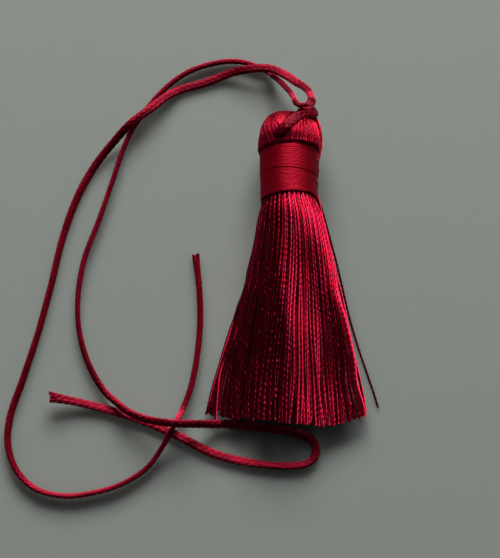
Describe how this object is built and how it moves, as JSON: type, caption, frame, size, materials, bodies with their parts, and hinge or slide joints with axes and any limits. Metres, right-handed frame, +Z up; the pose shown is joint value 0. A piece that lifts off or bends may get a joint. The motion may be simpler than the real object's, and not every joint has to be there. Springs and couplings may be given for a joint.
{
  "type": "silk tassel",
  "caption": "Silk tassel lying flat: a folded skein of twisted yarn, bound at the neck, with a spread skirt and a knotted braided cord whose two tails lie loose beside it.",
  "frame": {"origin": "centre of the tassel's own footprint, head, knot, binding and skirt together, on the surface that it lies on; the free cord tails and the strayed yarn aren't counted", "axes": "+Y along the tassel from the cut ends of the skirt to the head, +Z up from the surface, +X to the right when the tassel is seen from above with its head away from the viewer"},
  "size_m": [0.0689, 0.0885, 0.0119],
  "materials": {
    "silk_yarn": "lustrous two-ply twisted silk yarn",
    "binding_thread": "fine silk thread wound side by side, satin sheen",
    "silk_braid": "flat braided silk cord, soft sheen"
  },
  "bodies": {
    "root": {"hank": "silk_yarn", "stray_yarn": "silk_yarn", "band": "binding_thread", "cord_knot": "silk_braid", "tail_outer": "silk_braid", "tail_inner": "silk_braid"}
  },
  "joints": []
}
